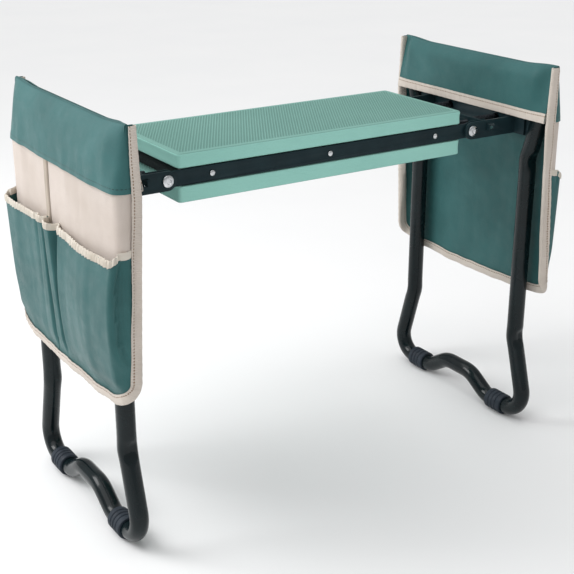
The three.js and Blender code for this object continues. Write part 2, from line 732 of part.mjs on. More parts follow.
// Tape round the pouch's edge: up each side wall and along the bottom of the panel.
function pouchBinding() {
  const hem = apron(POUCH_HALF, POUCH_BOTTOM_Z, BINDING_CORNER_Z);
  const inset = BINDING_WIDTH - CLEAR;
  const inside = apron(POUCH_HALF - inset, POUCH_BOTTOM_Z + inset, BINDING_CORNER_Z + 1);
  const strip = polygon([
    [WALL_TAPE_X, PANEL_TOP_Z],
    [WALL_TAPE_X, BINDING_BEND_Z],
    [BINDING_IN_X, BINDING_CORNER_Z - CLEAR],
    ...tapeEdge(0),
  ]);
  const strips = endSides.map((side) => {
    const middle = side * (POUCH_HALF - FABRIC / 2);
    return plateXZ(strip, middle - BINDING_THICK / 2, middle + BINDING_THICK / 2);
  });
  const bottom = cut(
    plateYZ(hem, BINDING_IN_X, BINDING_OUT_X),
    plateYZ(inside, BINDING_IN_X - 1, BINDING_OUT_X + 1),
  );
  return join(bottom, ...strips);
}

// A pocket's side view: flat at its floor and gaping at its mouth, from x = back outwards.
function pocketSide(back, toe, depth, floor, mouth) {
  const shape = new THREE.Shape();
  shape.moveTo(back, mouth);
  shape.lineTo(back, floor);
  shape.lineTo(toe, floor);
  const bulge = floor + (mouth - floor) / 2;
  shape.quadraticCurveTo(toe + (depth - POCKET_TOE) * 0.9, bulge, toe + depth - POCKET_TOE, mouth);
  return shape;
}

// Wall of a pocket, open towards the panel and at its mouth.
function pocket(from, to, { depth, mouthDrop }) {
  const mouth = POUCH_TOP_Z - mouthDrop;
  const floor = POUCH_BOTTOM_Z + POCKET_FLOOR;
  const toe = POCKET_X + POCKET_TOE;
  const inside = pocketSide(POCKET_X - 1, toe - FABRIC, depth, floor + FABRIC, mouth + 1);
  const outline = (inset) =>
    plateYZ(
      apron(POUCH_HALF - inset, floor + inset, mouth + 1 + inset),
      POCKET_X - 1 - inset,
      POCKET_X + depth + 1,
    );
  return cut(
    common(plateXZ(pocketSide(POCKET_X, toe, depth, floor, mouth), from, to), outline(0)),
    common(plateXZ(inside, from + FABRIC, to - FABRIC), outline(FABRIC)),
  );
}

function addPouch(group, end) {
  const divider = NARROW_POCKET.width - POUCH_HALF;
  const pieces = [
    ["hood", pouchHood(), greenFabric],
    ["panel", pouchPanel(), beigeFabric],
    ["binding", pouchBinding(), beigeFabric],
    ["pocket_narrow", pocket(-POUCH_HALF, divider, NARROW_POCKET), greenFabric],
    ["pocket_wide", pocket(divider + CLEAR, POUCH_HALF, WIDE_POCKET), greenFabric],
  ];
  for (const [name, geometry, material] of pieces) {
    addPiece(group, `pouch_${name}_${end}`, geometry, material);
  }
}

// ---------------------------------------------------------------- both ends
function addEnd(end) {
  const group = ends[end];
  addPiece(group, `leg_tube_${end}`, legTube(), tubePaint);
  addPiece(group, `crossbar_${end}`, crossbar(), darkSteel);
  addPiece(group, `lock_bar_${end}`, lockBar(), darkSteel);
  for (const side of endSides) {
    const label = `${end}_${depthName(end, side)}`;
    const arm = hingeArm();
    if (side < 0) mirrorAcrossXZ(arm);
    addPiece(group, `hinge_arm_${label}`, arm, darkSteel);
    addPiece(group, `guide_bolt_${label}`, guideBolt(side * BOLT_Y), blackSteel);
    addPiece(group, `guide_nut_${label}`, guideNut(side * BOLT_Y), blackSteel);
    addPiece(group, `lock_spring_${label}`, lockSpring(side * BOLT_Y), blackSteel);
    addPiece(group, `foot_sleeve_${label}`, footSleeve(side), rubber);
  }
  addPouch(group, end);
}

// Mirrors a geometry across the plane y = 0 and turns its faces to point out again.
function mirrorAcrossXZ(geometry) {
  geometry.scale(1, -1, 1);
  const order = geometry.index.array;
  for (let i = 0; i < order.length; i += 3) {
    [order[i + 1], order[i + 2]] = [order[i + 2], order[i + 1]];
  }
}

addSeat();
addEnd("right");
addEnd("left");

export default kneeler;
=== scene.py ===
# Folding garden kneeler and seat: the visual model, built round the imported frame.
import math

import bmesh
import bpy
from mathutils import Matrix, Vector, noise


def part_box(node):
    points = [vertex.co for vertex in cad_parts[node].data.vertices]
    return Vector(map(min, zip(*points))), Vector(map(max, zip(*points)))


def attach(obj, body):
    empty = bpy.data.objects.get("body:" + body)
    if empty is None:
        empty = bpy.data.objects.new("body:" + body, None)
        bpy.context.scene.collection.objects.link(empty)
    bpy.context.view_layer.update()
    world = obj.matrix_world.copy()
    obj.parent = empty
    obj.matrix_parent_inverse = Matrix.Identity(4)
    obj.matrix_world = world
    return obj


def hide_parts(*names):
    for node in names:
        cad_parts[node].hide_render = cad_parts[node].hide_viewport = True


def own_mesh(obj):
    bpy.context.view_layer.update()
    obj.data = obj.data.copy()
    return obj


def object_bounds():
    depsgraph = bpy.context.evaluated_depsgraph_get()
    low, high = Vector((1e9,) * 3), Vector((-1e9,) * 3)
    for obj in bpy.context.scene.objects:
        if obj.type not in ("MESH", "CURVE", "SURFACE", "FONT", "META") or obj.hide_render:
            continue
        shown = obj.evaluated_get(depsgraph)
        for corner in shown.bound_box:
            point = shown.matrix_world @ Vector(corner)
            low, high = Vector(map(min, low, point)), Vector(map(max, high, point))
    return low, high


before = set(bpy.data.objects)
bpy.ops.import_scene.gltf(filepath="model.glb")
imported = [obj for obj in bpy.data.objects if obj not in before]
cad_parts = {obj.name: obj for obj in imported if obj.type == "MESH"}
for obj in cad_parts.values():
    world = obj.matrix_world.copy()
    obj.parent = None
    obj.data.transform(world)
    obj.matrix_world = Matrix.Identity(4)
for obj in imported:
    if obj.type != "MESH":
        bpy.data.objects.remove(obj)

CAD_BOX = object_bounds()
ENDS = {"right": Matrix.Identity(4), "left": Matrix.Rotation(math.pi, 4, "Z")}
SIDES = (-1, 1)

# ---- places, in metres
tube_low, tube_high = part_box("leg_tube_right")
LEG_X = (tube_low.x + tube_high.x) / 2
TUBE_R = (tube_high.x - tube_low.x) / 2
FOOT_Z = tube_low.z + TUBE_R
TOP_Z = tube_high.z - TUBE_R
# The bends of a leg tube's centre line, as the frame has them.
CORNER_Y = 0.1395  # where the flare and the foot would cross
WAIST_Y = 0.1085  # the leg's straight middle
BEND_RISE = 0.108  # from the foot up to the dog-leg bend
FOOT_SPAN = 0.078  # from the corner in to the start of the arch
ARCH_RUN = 0.036
ARCH_RISE = 0.022
CORNER_BEND_R = 0.028
DOGLEG_BEND_R = 0.045
ARCH_FOOT_BEND_R = 0.030
ARCH_TOP_BEND_R = 0.040
BAND_STITCH_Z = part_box("pouch_panel_right")[1].z + 0.007  # stitches of the hood's hem


def depth_name(end, side):
    """The left end is turned round, so its own -Y side faces the back."""
    return "front" if (end == "left") == (side > 0) else "back"


def share(value, start, stop):
    """0 before start, 1 after stop, and even between them."""
    return min(max((value - start) / (stop - start), 0.0), 1.0)


def smooth(value, start, stop):
    """0 before start, 1 after stop, and an S curve between them."""
    t = share(value, start, stop)
    return t * t * (3 - 2 * t)


def mix(a, b, t):
    return a + (b - a) * t


def stops(low, high, count):
    """Even steps from low to high, both included."""
    return [mix(low, high, i / count) for i in range(count + 1)]


# ---- materials
def rgb(red, green, blue):
    """A display colour, 0 to 255, as the linear values that a shader takes."""
    def linear(channel):
        c = channel / 255
        return c / 12.92 if c <= 0.04045 else ((c + 0.055) / 1.055) ** 2.4
    return (linear(red), linear(green), linear(blue), 1.0)


class Finish:
    """A Principled material with the few node shapes that the finishes share."""

    def __init__(self, name, coords="Object", **values):
        self.material = bpy.data.materials.new(name)
        self.material.use_nodes = True
        self.tree = self.material.node_tree
        self.shader = self.tree.nodes["Principled BSDF"]
        self.where = self.tree.nodes.new("ShaderNodeTexCoord").outputs[coords]
        self.height = None
        for socket, value in values.items():
            self.shader.inputs[socket.replace("_", " ").title().replace("Ior", "IOR")].default_value = value

    def node(self, kind, inputs=(), **settings):
        made = self.tree.nodes.new("ShaderNode" + kind)
        for key, value in settings.items():
            setattr(made, key, value)
        for socket, value in dict(inputs).items():
            if isinstance(value, bpy.types.NodeSocket):
                self.tree.links.new(value, made.inputs[socket])
            else:
                made.inputs[socket].default_value = value
        return made

    def math(self, operation, a, b=0.0):
        return self.node("Math", {0: a, 1: b}, operation=operation).outputs[0]

    def noise(self, scale, detail=3.0, stretch=(1.0, 1.0, 1.0)):
        placed = self.node("Mapping", {"Vector": self.where, "Scale": stretch}).outputs[0]
        wanted = {"Vector": placed, "Scale": scale, "Detail": detail}
        return self.node("TexNoise", wanted).outputs["Fac"]

    def spread(self, value, low=0.0, high=1.0, start=0.3, stop=0.7):
        """A 0 to 1 value, from start to stop, as low to high."""
        wanted = {"Value": value, "From Min": start, "From Max": stop, "To Min": low, "To Max": high}
        return self.node("MapRange", wanted, clamp=True).outputs[0]

    def blend(self, value, first, second):
        """First colour where value is 0, second where it is 1."""
        return self.node("Mix", {"Factor": value, 6: first, 7: second}, data_type="RGBA").outputs[2]

    def paint(self, socket, value):
        self.tree.links.new(value, self.shader.inputs[socket])

    def tone(self, value, first, second):
        self.paint("Base Color", self.blend(value, first, second))

    def cover(self, value, color):
        """The colour over what is there, where value is 1."""
        self.tone(value, self.shader.inputs["Base Color"].links[0].from_socket, color)

    def bump(self, value, distance, strength=1.0):
        wanted = {"Height": value, "Distance": distance, "Strength": strength}
        if self.height is not None:
            wanted["Normal"] = self.height
        self.height = self.node("Bump", wanted).outputs[0]
        self.paint("Normal", self.height)

    def stripes(self, axis, pitch):
        """A wave from 0 to 1 across the given direction, once every pitch."""
        along = self.node("VectorMath", {0: self.where, 1: axis}, operation="DOT_PRODUCT")
        turns = self.math("MULTIPLY", along.outputs["Value"], 2 * math.pi / pitch)
        return self.math("MULTIPLY_ADD", self.math("SINE", turns), 0.5)


def cloth_finish(name, color, shade, thread, sheen, roughness):
    """Woven coated canvas: two crossing threads, soft clouding and a little sheen."""
    made = Finish(name, "UV", roughness=roughness, sheen_weight=sheen, sheen_roughness=0.4,
                  specular_ior_level=0.3)
    cloud = made.spread(made.noise(14.0, 4.0))
    fibres = made.spread(made.noise(900.0, 2.0), 0.0, 0.35)
    made.tone(fibres, made.blend(cloud, color, shade), shade)
    made.paint("Roughness", made.spread(made.noise(60.0), roughness - 0.08, roughness + 0.1))
    warp = made.stripes((1.0, 0.0, 0.0), thread)
    weft = made.stripes((0.0, 1.0, 0.0), thread)
    made.bump(made.math("MULTIPLY", warp, weft), 0.00018)
    made.bump(made.noise(45.0, 4.0), 0.0012, 0.8)
    return made


def stitch_row(made, at, thickness, pitch, color):
    """A dashed line of thread where the cloth's V is at, or minus that."""
    split = made.node("SeparateXYZ", {0: made.where}).outputs
    row = made.math("COMPARE", made.math("ABSOLUTE", split[1]), at)
    row.node.inputs[2].default_value = thickness / 2
    dash = made.math("GREATER_THAN", made.stripes((1.0, 0.0, 0.0), pitch), 0.35)
    stitch = made.math("MULTIPLY", row, dash)
    made.cover(stitch, color)
    made.bump(stitch, 0.0004)
    return made.material


def foam_finish(name, color, shade):
    """Closed-cell foam: fine cells and a slow change of tone."""
    made = Finish(name, roughness=0.78, specular_ior_level=0.35)
    cells = made.spread(made.noise(1400.0, 2.0), 0.0, 0.5)
    cloud = made.spread(made.noise(9.0), 0.0, 0.6)
    made.tone(cells, made.blend(cloud, color, shade), shade)
    made.bump(made.noise(1100.0, 2.0), 0.0002, 0.7)
    return made


def foam_side():
    """The cut side, with the faint level lines that the saw leaves."""
    made = foam_finish("foam_cut_side", rgb(170, 226, 214), rgb(148, 208, 196))
    made.bump(made.noise(90.0, 3.0, (0.15, 0.15, 6.0)), 0.0006, 0.6)
    return made.material


def foam_face():
    """The skin of the pad, pressed with small diamonds inside a smooth margin. The diamonds' recesses are
    painted darker: painted shade.
    """
    made = foam_finish("foam_pressed_face", rgb(134, 180, 170), rgb(116, 162, 152))
    low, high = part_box("seat_pad_upper")
    margin, pitch = 0.007, 0.0032
    split = made.node("SeparateXYZ", {0: made.where}).outputs
    inside = made.math("MULTIPLY",
        made.math("LESS_THAN", made.math("ABSOLUTE", split[0]), high.x - margin),
        made.math("LESS_THAN", made.math("ABSOLUTE", split[1]), high.y - margin))
    crossing = made.math("MULTIPLY",
        made.stripes((0.86, 0.5, 0.0), pitch), made.stripes((0.86, -0.5, 0.0), pitch))
    grain = made.math("MULTIPLY", made.math("POWER", crossing, 0.6), inside)
    # painted shade: the diamonds' recesses are darkened where their shade would fall
    made.cover(made.math("MULTIPLY", grain, 0.75), rgb(66, 112, 104))
    made.bump(made.math("SUBTRACT", 1.0, grain), 0.0008)
    return made.material


def paint_finish(name, color, shade, roughness, coat, grain):
    """Sprayed metal with a little orange peel and dulled patches."""
    made = Finish(name, metallic=0.0, specular_ior_level=0.15, coat_weight=coat, coat_roughness=0.06)
    made.tone(made.spread(made.noise(30.0, 5.0)), color, shade)
    made.paint("Roughness", made.spread(made.noise(22.0, 5.0), roughness * 0.75, roughness * 1.35))
    made.bump(made.noise(grain, 2.0), 0.0003, 0.25)
    return made.material


def bare_finish(name, color, shade, roughness, brushed=(1.0, 1.0, 1.0)):
    """Plated or blackened steel, with fine marks in its gloss."""
    made = Finish(name, metallic=1.0)
    made.tone(made.spread(made.noise(160.0, 4.0)), color, shade)
    marks = made.noise(700.0, 3.0, brushed)
    made.paint("Roughness", made.spread(marks, roughness * 0.7, roughness * 1.5))
    made.bump(marks, 0.00005, 0.5)
    return made.material


def rubber_finish():
    made = Finish("foot_rubber", roughness=0.62, specular_ior_level=0.4)
    dust = made.spread(made.noise(70.0, 5.0), 0.0, 0.8)
    made.tone(dust, rgb(24, 34, 45), rgb(38, 49, 60))
    made.paint("Roughness", made.spread(made.noise(130.0), 0.5, 0.75))
    made.bump(made.noise(800.0, 2.0), 0.0001, 0.6)
    return made.material


def nylon_finish():
    made = Finish("washer_nylon", roughness=0.5, subsurface_weight=0.05)
    made.tone(made.noise(200.0), rgb(186, 188, 182), rgb(160, 163, 158))
    return made.material


def board_finish():
    """Dark stained fibre board."""
    made = Finish("deck_fibre", roughness=0.85)
    fibre = made.spread(made.noise(260.0, 4.0, (0.3, 1.0, 3.0)))
    made.tone(fibre, rgb(28, 36, 38), rgb(48, 56, 56))
    made.bump(fibre, 0.0003, 0.8)
    return made.material


GREEN = (rgb(56, 107, 107), rgb(40, 89, 89))
# painted light: the hood's green is the pockets' canvas made lighter, as the hood catches more light
LIT_HOOD_GREEN = (rgb(62, 114, 114), rgb(46, 96, 96))
BEIGE = (rgb(218, 207, 199), rgb(200, 188, 178))
TAPE = (rgb(226, 216, 206), rgb(206, 195, 184))
STRIP = (rgb(198, 186, 172), rgb(176, 163, 149))
PALE = (rgb(230, 224, 213), rgb(206, 196, 182))


def tape_finish(name, colors):
    """Ribbed woven tape."""
    made = cloth_finish(name, *colors, thread=0.0009, sheen=0.15, roughness=0.8)
    made.bump(made.stripes((1.0, 0.0, 0.0), 0.0024), 0.00025)
    return made


canvas = cloth_finish("green_canvas", *GREEN, thread=0.0011, sheen=0.12, roughness=0.5).material
# painted light: the hood's canvas is the green canvas painted lighter, for the light on the hood
lit_hood_canvas = stitch_row(cloth_finish("lit_hood_canvas", *LIT_HOOD_GREEN, thread=0.0011, sheen=0.12, roughness=0.5),
                         BAND_STITCH_Z, 0.0007, 0.0036, rgb(24, 56, 56))
lining = cloth_finish("beige_canvas", *BEIGE, thread=0.0011, sheen=0.1, roughness=0.8).material
strip_cloth = cloth_finish("seam_strip", *STRIP, thread=0.0009, sheen=0.1, roughness=0.8).material
tape = stitch_row(tape_finish("edge_tape", TAPE), 0.0085, 0.0012, 0.0034, rgb(150, 124, 100))
mouth_tape = tape_finish("mouth_tape", PALE).material
foam_cut = foam_side()
foam_skin = foam_face()
dark_steel = paint_finish("slate_powder_coat", rgb(30, 50, 55), rgb(22, 39, 44), 0.42, 0.0, 900.0)
tube_enamel = paint_finish("tube_enamel", rgb(14, 28, 31), rgb(8, 19, 22), 0.24, 0.25, 260.0)
black_steel = bare_finish("black_oxide", rgb(58, 62, 66), rgb(38, 41, 45), 0.35)
bright_zinc = bare_finish("bright_zinc", rgb(222, 224, 226), rgb(190, 193, 196), 0.24)
rubber = rubber_finish()
nylon = nylon_finish()
fibre_board = board_finish()


# ---- mesh helpers
def add_object(name, data):
    made = bpy.data.objects.new(name, data)
    bpy.context.scene.collection.objects.link(made)
    return made


def add_smooth(name, mesh, material, crease):
    """An object in one material, smooth but for the edges that turn more than crease, in degrees."""
    mesh.materials.append(material)
    mesh.shade_smooth()
    mesh.set_sharp_from_angle(angle=math.radians(crease))
    mesh.validate()
    return add_object(name, mesh)


def add_mesh(name, points, faces, material, place=None, uvs=None, crease=35):
    """An object with its faces turned out. uvs has one pair for each point."""
    mesh = bpy.data.meshes.new(name)
    mesh.from_pydata([tuple(point) for point in points], [], faces)
    if place:
        mesh.transform(place)
    shape = bmesh.new()
    shape.from_mesh(mesh)
    bmesh.ops.recalc_face_normals(shape, faces=shape.faces)
    shape.to_mesh(mesh)
    shape.free()
    if uvs:
        corners = [0] * len(mesh.loops)
        mesh.loops.foreach_get("vertex_index", corners)
        layer = mesh.uv_layers.new(name="cloth")
        layer.data.foreach_set("uv", [part for corner in corners for part in uvs[corner]])
    return add_smooth(name, mesh, material, crease)


def finish_piece(piece, body, slot, *nodes):
    if nodes:
        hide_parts(*nodes)
    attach(piece, body)
    return piece


def ring_faces(count, sides, closed=False):
    """Faces that join each of count rings to the next one, and the last to the first if closed."""
    faces = []
    for i in range(count if closed else count - 1):
        a, b = i * sides, (i + 1) % count * sides
        for k in range(sides):
            j = (k + 1) % sides
            faces.append((a + k, a + j, b + j, b + k))
    return faces


def axis_start(low, high, side=1):
    """Where the axis of a piece that lies front to back starts, if it points to side."""
    return ((low.x + high.x) / 2, low.y if side > 0 else high.y, (low.z + high.z) / 2)


def lathe(name, profile, origin, axis, material, sides=40, closed=False):
    """Turns (radius, along) points about an axis. A closed profile is a ring's section."""
    turn = Vector((0, 0, 1)).rotation_difference(Vector(axis)).to_matrix()
    points, rings = [], []
    for radius, along in profile:
        count = sides if radius > 0 else 1
        rings.append(range(len(points), len(points) + count))
        for i in range(count):
            angle = 2 * math.pi * i / sides
            spot = Vector((radius * math.cos(angle), radius * math.sin(angle), along))
            points.append(turn @ spot + Vector(origin))
    faces = []
    for low, high in zip(rings, rings[1:] + (rings[:1] if closed else [])):
        for i in range(sides):
            j = (i + 1) % sides
            corner = [low[i % len(low)], low[j % len(low)], high[j % len(high)], high[i % len(high)]]
            faces.append(list(dict.fromkeys(corner)))
    return add_mesh(name, points, faces, material)


def domed(radius, base, height, steps=7):
    """Profile of a domed head that sits on base."""
    rim = height * 0.3
    profile = [(radius - 0.0003, base), (radius, base + 0.0003), (radius, base + rim)]
    for i in range(1, steps):
        angle = math.pi / 2 * i / steps
        profile.append((radius * math.cos(angle), base + rim + (height - rim) * math.sin(angle)))
    return profile + [(0.0, base + height)]


def eased(node, body, slot, material, width):
    """A CAD plate with its flat faces merged and its sharp edges broken."""
    welded, flat, sharp_turn = 2e-6, math.radians(1), math.radians(40)
    mesh = bpy.data.objects[node].data.copy()
    mesh.materials.clear()
    shape = bmesh.new()
    shape.from_mesh(mesh)
    bmesh.ops.remove_doubles(shape, verts=shape.verts, dist=welded)
    bmesh.ops.dissolve_limit(shape, angle_limit=flat, verts=shape.verts, edges=shape.edges)
    sharp = [edge for edge in shape.edges
             if len(edge.link_faces) == 2 and edge.calc_face_angle() > sharp_turn]
    bmesh.ops.bevel(shape, geom=sharp, offset=width, segments=2, profile=0.6,
                    affect="EDGES", clamp_overlap=True)
    shape.to_mesh(mesh)
    shape.free()
    return finish_piece(add_smooth(node + "_eased", mesh, material, 30), body, slot, node)


def thick_sheet(name, grid, thickness, material, place, flat):
    """A cloth of even thickness round a grid of middle points. flat gives each one's UV."""
    rows, columns = len(grid), len(grid[0])
    offsets = []
    for i in range(rows):
        above, below = grid[min(i + 1, rows - 1)], grid[max(i - 1, 0)]
        for j in range(columns):
            across = grid[i][min(j + 1, columns - 1)] - grid[i][max(j - 1, 0)]
            offsets.append((above[j] - below[j]).cross(across).normalized() * thickness / 2)
    middle = [point for row in grid for point in row]
    points = [m + o for m, o in zip(middle, offsets)] + [m - o for m, o in zip(middle, offsets)]
    uvs = [spot for row in flat for spot in row] * 2
    layer = rows * columns
    faces = []
    for i in range(rows - 1):
        for j in range(columns - 1):
            a, b = i * columns + j, (i + 1) * columns + j
            faces.append((a, b, b + 1, a + 1))
            faces.append((layer + a, layer + a + 1, layer + b + 1, layer + b))
    rim = list(range(columns))
    rim += [i * columns + columns - 1 for i in range(1, rows)]
    rim += [(rows - 1) * columns + j for j in range(columns - 2, -1, -1)]
    rim += [i * columns for i in range(rows - 2, 0, -1)]
    for a, b in zip(rim, rim[1:] + rim[:1]):
        faces.append((a, b, layer + b, layer + a))
    return add_mesh(name, points, faces, material, place, uvs, crease=60)


# ---- seat
def rounded_ring(half_x, half_y, radius, z, steps=6):
    """Points round a rectangle with round corners."""
    ring = []
    for corner, (sx, sy) in enumerate(((1, 1), (-1, 1), (-1, -1), (1, -1))):
        for i in range(steps + 1):
            angle = math.pi / 2 * (corner + i / steps)
            x = sx * (half_x - radius) + radius * math.cos(angle)
            y = sy * (half_y - radius) + radius * math.sin(angle)
            ring.append(Vector((x, y, z)))
    return ring


def foam_pad(node):
    """Foam slab with soft arrises, a slight crown and sides that draw in between its skins."""
    low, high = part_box(node)
    corner, edge, crown, waist, margin = 0.005, 0.0022, 0.00036, 0.0005, 0.04
    arris_steps, side_steps = 5, 6
    turns = [math.pi / 2 * i / arris_steps for i in range(arris_steps + 1)]
    base, top = low.z + crown, high.z - crown
    lower = [(edge * (1 - math.sin(turn)), base + edge * (1 - math.cos(turn))) for turn in turns]
    upper = [(edge * (1 - math.cos(turn)), top - edge * (1 - math.sin(turn))) for turn in turns]
    side = []
    for i in range(1, side_steps):
        t = i / side_steps
        side.append((waist * math.sin(math.pi * t), mix(low.z + edge, high.z - edge, t)))
    insets = [0.006, 0.014, 0.026, 0.042, 0.060]
    below = [(inset, low.z + crown * (1 - smooth(inset, 0, margin))) for inset in reversed(insets)]
    above = [(inset, high.z - crown * (1 - smooth(inset, 0, margin))) for inset in insets]
    rings = []
    for inset, z in below + lower + side + upper + above:
        rings.append(rounded_ring(high.x - inset, high.y - inset, max(corner - inset, 0.0008), z))
    points = [point for ring in rings for point in ring]
    count = len(rings[0])
    faces = [list(range(count))[::-1]] + ring_faces(len(rings), count)
    faces.append(list(range(len(points) - count, len(points))))
    piece = add_mesh(node + "_foam", points, faces, foam_skin)
    piece.data.materials.append(foam_cut)
    side_tilt = 0.7
    for polygon in piece.data.polygons:
        if abs(polygon.normal.z) < side_tilt:
            polygon.material_index = 1
    return finish_piece(piece, "seat", "foam", node)


def turned_pin(node, side, profile):
    """A zinc pin that points out of the seat's side, turned about the CAD pin's axis."""
    low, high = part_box(node)
    piece = lathe(node + "_turned", profile, axis_start(low, high, side), (0, side, 0), bright_zinc)
    return finish_piece(piece, "seat", "zinc", node)


def pin_length(node):
    low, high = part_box(node)
    return high.y - low.y


def rail_rivet(node, side):
    """Small rivet with a domed head over the rail."""
    radius, rise = 0.0033, 0.0016
    shank, length = radius * 0.6, pin_length(node) - rise
    profile = [(0.0, 0.0), (shank, 0.0), (shank, length)] + domed(radius, length, rise)
    turned_pin(node, side, profile)


def pivot_rivet(node, side):
    """Large rivet: a flat tail, a shank, and a domed head with a dimple in its middle."""
    tail, tail_height, shank, radius, rise = 0.006, 0.002, 0.004, 0.0068, 0.0026
    length = pin_length(node)
    profile = [(0.0, 0.0), (tail - 0.0005, 0.0), (tail, 0.0005), (tail, tail_height), (shank, tail_height)]
    profile += [(shank, length - rise)] + domed(radius, length - rise, rise)[:-3]
    profile += [(0.0030, length - 0.0003), (0.0026, length - 0.0009), (0.0, length - 0.0011)]
    turned_pin(node, side, profile)


def pivot_washer(node):
    low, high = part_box(node)
    hole, rim, edge, thick = 0.0044, 0.009, 0.0002, high.y - low.y
    ring = [(hole, 0.0), (rim - edge, 0.0), (rim, edge), (rim, thick - edge), (rim - edge, thick),
            (hole, thick)]
    piece = lathe(node + "_turned", ring, axis_start(low, high), (0, 1, 0), nylon, closed=True)
    finish_piece(piece, "seat", "nylon", node)


def add_seat():
    foam_pad("seat_pad_upper")
    foam_pad("seat_pad_lower")
    eased("deck_board", "seat", "board", fibre_board, 0.0006)
    for label, side in (("front", -1), ("back", 1)):
        eased(f"side_rail_{label}", "seat", "dark_steel", dark_steel, 0.0005)
        for place in ("left", "middle", "right"):
            rail_rivet(f"rail_rivet_{label}_{place}", side)
        for end in ENDS:
            pivot_rivet(f"pivot_rivet_{end}_{label}", side)
            pivot_washer(f"pivot_washer_{end}_{label}")


# ---- legs
def rounded_route(corners, spacing):
    """Evenly spaced (point, direction) along a closed Y-Z polygon with rounded corners."""
    track, steps = [], 24
    count = len(corners)
    for i, (at, radius) in enumerate(corners):
        before, after = corners[i - 1][0], corners[(i + 1) % count][0]
        into, out = (at - before).normalized(), (after - at).normalized()
        turn = math.atan2(into.x * out.y - into.y * out.x, into.dot(out))
        start = at - into * radius * math.tan(abs(turn) / 2)
        centre = start + Vector((-into.y, into.x)) * radius * math.copysign(1, turn)
        for step in range(steps + 1):
            spin = Matrix.Rotation(turn * step / steps, 2)
            track.append(centre + spin @ (start - centre))
    lengths = [0.0]
    for a, b in zip(track, track[1:] + track[:1]):
        lengths.append(lengths[-1] + (b - a).length)
    total = lengths[-1]
    stations, leg = [], 0
    number = int(total / spacing)
    for i in range(number):
        want = total * i / number
        while lengths[leg + 1] < want:
            leg += 1
        a, b = track[leg], track[(leg + 1) % len(track)]
        t = (want - lengths[leg]) / max(lengths[leg + 1] - lengths[leg], 1e-9)
        stations.append(a.lerp(b, t))
    ways = [(stations[(i + 1) % number] - stations[i - 1]).normalized() for i in range(number)]
    return list(zip(stations, ways))


def leg_corners():
    """Corners and bend radii of the tube's loop, anticlockwise from the foot's arch."""
    foot_y = CORNER_Y - FOOT_SPAN
    quarter = [(foot_y - ARCH_RUN, ARCH_RISE, ARCH_TOP_BEND_R), (foot_y, 0.0, ARCH_FOOT_BEND_R),
               (CORNER_Y, 0.0, CORNER_BEND_R), (WAIST_Y, BEND_RISE, DOGLEG_BEND_R)]
    corners = []
    for side, up in ((1, False), (1, True), (-1, True), (-1, False)):
        for y, rise, radius in (quarter if (side > 0) != up else quarter[::-1]):
            corners.append((Vector((side * y, TOP_Z - rise if up else FOOT_Z + rise)), radius))
    return corners


def leg_tube(end):
    """Bent tube. Each dog-leg bend is crushed to a long dimple on its outer side."""
    sides, spacing = 32, 0.0025
    dent, dent_length, dent_swell = 0.0042, 0.011, 0.0006
    route = rounded_route(leg_corners(), spacing)
    bends = [Vector((side * WAIST_Y, z)) for side in SIDES
             for z in (FOOT_Z + BEND_RISE, TOP_Z - BEND_RISE)]
    points = []
    for at, way in route:
        near = min((at - bend).length for bend in bends)
        depth = dent * math.exp(-((near / dent_length) ** 4))
        swell = dent_swell * math.exp(-((near / dent_length) ** 2))
        outward = Vector((0, way.y, -way.x))
        for k in range(sides):
            angle = 2 * math.pi * k / sides
            facing = max(math.cos(angle), 0.0)
            radius = TUBE_R + swell * abs(math.sin(angle)) - depth * facing ** 3
            spot = outward * math.cos(angle) + Vector((math.sin(angle), 0, 0))
            points.append(Vector((LEG_X, at.x, at.y)) + spot * radius)
    faces = ring_faces(len(route), sides, closed=True)
    piece = add_mesh(f"leg_tube_{end}_bent", points, faces, tube_enamel, ENDS[end])
    return finish_piece(piece, f"leg_{end}", "tube_paint", f"leg_tube_{end}")


def foot_sleeve(end, side):
    """Rubber sleeve with rounded ends and three grooves round it."""
    node = f"foot_sleeve_{end}_{depth_name(end, side)}"
    low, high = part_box(node)
    outer, inner = (high.x - low.x) / 2, TUBE_R + 0.0002
    length, groove = high.y - low.y, 0.0009
    profile = [(inner, 0.0), (outer - 0.0012, 0.0), (outer - 0.0003, 0.0006), (outer, 0.0016)]
    for at in (0.28, 0.5, 0.72):
        middle = length * at
        profile += [(outer, middle - 0.0014), (outer - groove, middle - 0.0006),
                    (outer - groove, middle + 0.0006), (outer, middle + 0.0014)]
    profile += [(outer, length - 0.0016), (outer - 0.0003, length - 0.0006),
                (outer - 0.0012, length), (inner, length)]
    piece = lathe(node + "_moulded", profile, axis_start(low, high), (0, 1, 0), rubber, 48, closed=True)
    return finish_piece(piece, f"leg_{end}", "rubber", node)


